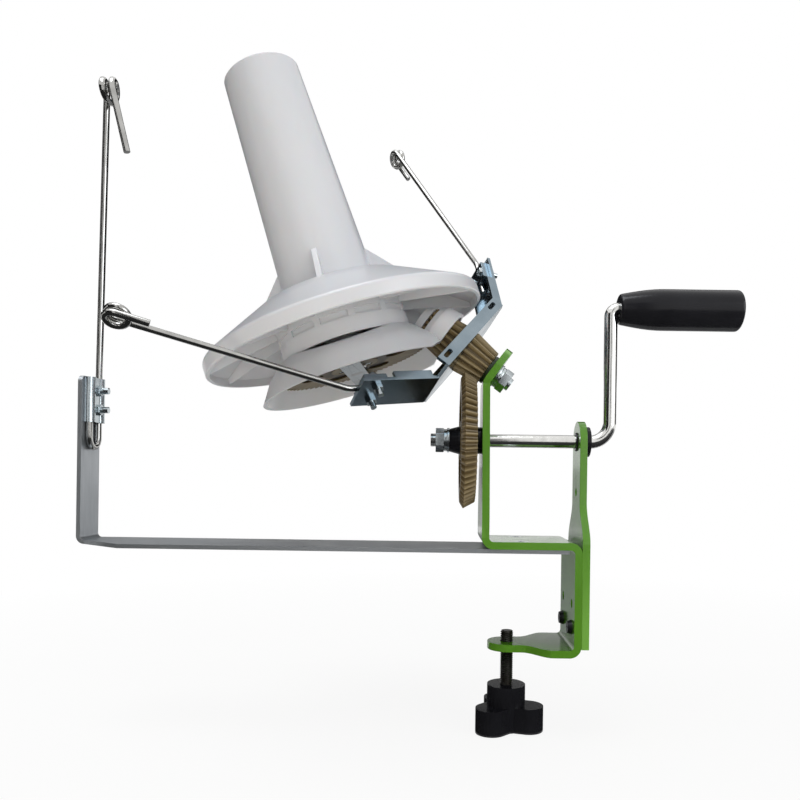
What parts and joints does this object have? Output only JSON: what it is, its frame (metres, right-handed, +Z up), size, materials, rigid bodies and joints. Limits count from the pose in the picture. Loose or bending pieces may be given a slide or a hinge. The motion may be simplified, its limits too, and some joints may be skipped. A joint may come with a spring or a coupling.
{
  "type": "yarn ball winder",
  "caption": "Hand-cranked yarn ball winder: green table clamp frame, bevel-geared wire flyer, tilted white winding cone and wire yarn guide.",
  "frame": {"origin": "on the clamp screw's axis, in the plane of the table seat under the guide bar", "axes": "+Z up, +X along the crank axis towards the handle, +Y to the far side"},
  "size_m": [0.4089, 0.219, 0.4066],
  "materials": {
    "green_paint": "gloss paint",
    "bar_steel": "brushed",
    "zinc": "zinc plated",
    "bright_steel": "polished",
    "screw_steel": "threaded",
    "black_steel": "blackened",
    "white_plastic": "moulded",
    "black_plastic": "moulded",
    "dark_spacer": "moulded",
    "gear_brown": "moulded"
  },
  "bodies": {
    "frame": {"main_bracket": "green_paint", "rear_upright": "green_paint", "leg_screws": "black_steel", "guide_bar": "bar_steel", "bar_screws": "zinc", "guide_clip": "zinc", "guide_clip_screws": "zinc", "guide_wire": "bright_steel", "front_bush": "black_plastic", "rear_bush": "black_plastic", "spindle_axle": "zinc", "axle_washers": "zinc", "axle_nut": "zinc", "pinion_spacer": "dark_spacer", "gear_housing": "white_plastic", "cone_carrier": "zinc", "carrier_screws": "zinc", "cone_post": "bright_steel", "post_washer": "zinc", "post_screw": "zinc"},
    "crank": {"crank_rod": "bright_steel", "drive_gear": "gear_brown", "gear_hub": "black_plastic", "crank_washers": "zinc", "crank_nut": "zinc", "grip_retainer": "zinc"},
    "grip": {"crank_grip": "black_plastic", "grip_plug": "black_plastic"},
    "flyer": {"drive_pinion": "gear_brown", "cone_pinion": "gear_brown", "yoke": "zinc", "flyer_clips": "zinc", "flyer_screws": "zinc", "flyer_wire_near": "bright_steel", "flyer_wire_far": "bright_steel"},
    "spindle": {"spindle_cone": "white_plastic", "cone_gear": "gear_brown", "cone_gear_screws": "zinc"},
    "clamp_screw": {"clamp_screw": "screw_steel"},
    "clamp_knob": {"clamp_knob": "black_plastic"}
  },
  "joints": [
    {"name": "crank_turn", "type": "hinge", "parent": "frame", "child": "crank", "pos_m": [0, 0, 0.067], "axis": [1, 0, 0], "continuous": true},
    {"name": "grip_spin", "type": "hinge", "parent": "crank", "child": "grip", "pos_m": [0.1, 0, 0.149], "axis": [1, 0, 0], "continuous": true},
    {"name": "flyer_spin", "type": "hinge", "parent": "frame", "child": "flyer", "pos_m": [0.04697, 0, 0.067], "axis": [-0.809, 0, 0.5878], "continuous": true},
    {"name": "cone_spin", "type": "hinge", "parent": "frame", "child": "spindle", "pos_m": [-0.12244, 0, 0.19008], "axis": [-0.319, 0, 0.9478], "continuous": true},
    {"name": "clamp_travel", "type": "slide", "parent": "frame", "child": "clamp_screw", "axis": [0, 0, 1], "range_m": [-0.005, 0.02]},
    {"name": "knob_turn", "type": "hinge", "parent": "clamp_screw", "child": "clamp_knob", "pos_m": [0, 0, -0.1], "axis": [0, 0, 1], "range_deg": [-1440, 5760]}
  ],
  "couplings": [
    {"joint": "flyer_spin", "follows": "crank_turn", "ratio": 3.5294},
    {"joint": "cone_spin", "follows": "crank_turn", "ratio": -0.83333},
    {"joint": "clamp_travel", "follows": "knob_turn", "m_per_rad": 0.00019894}
  ]
}
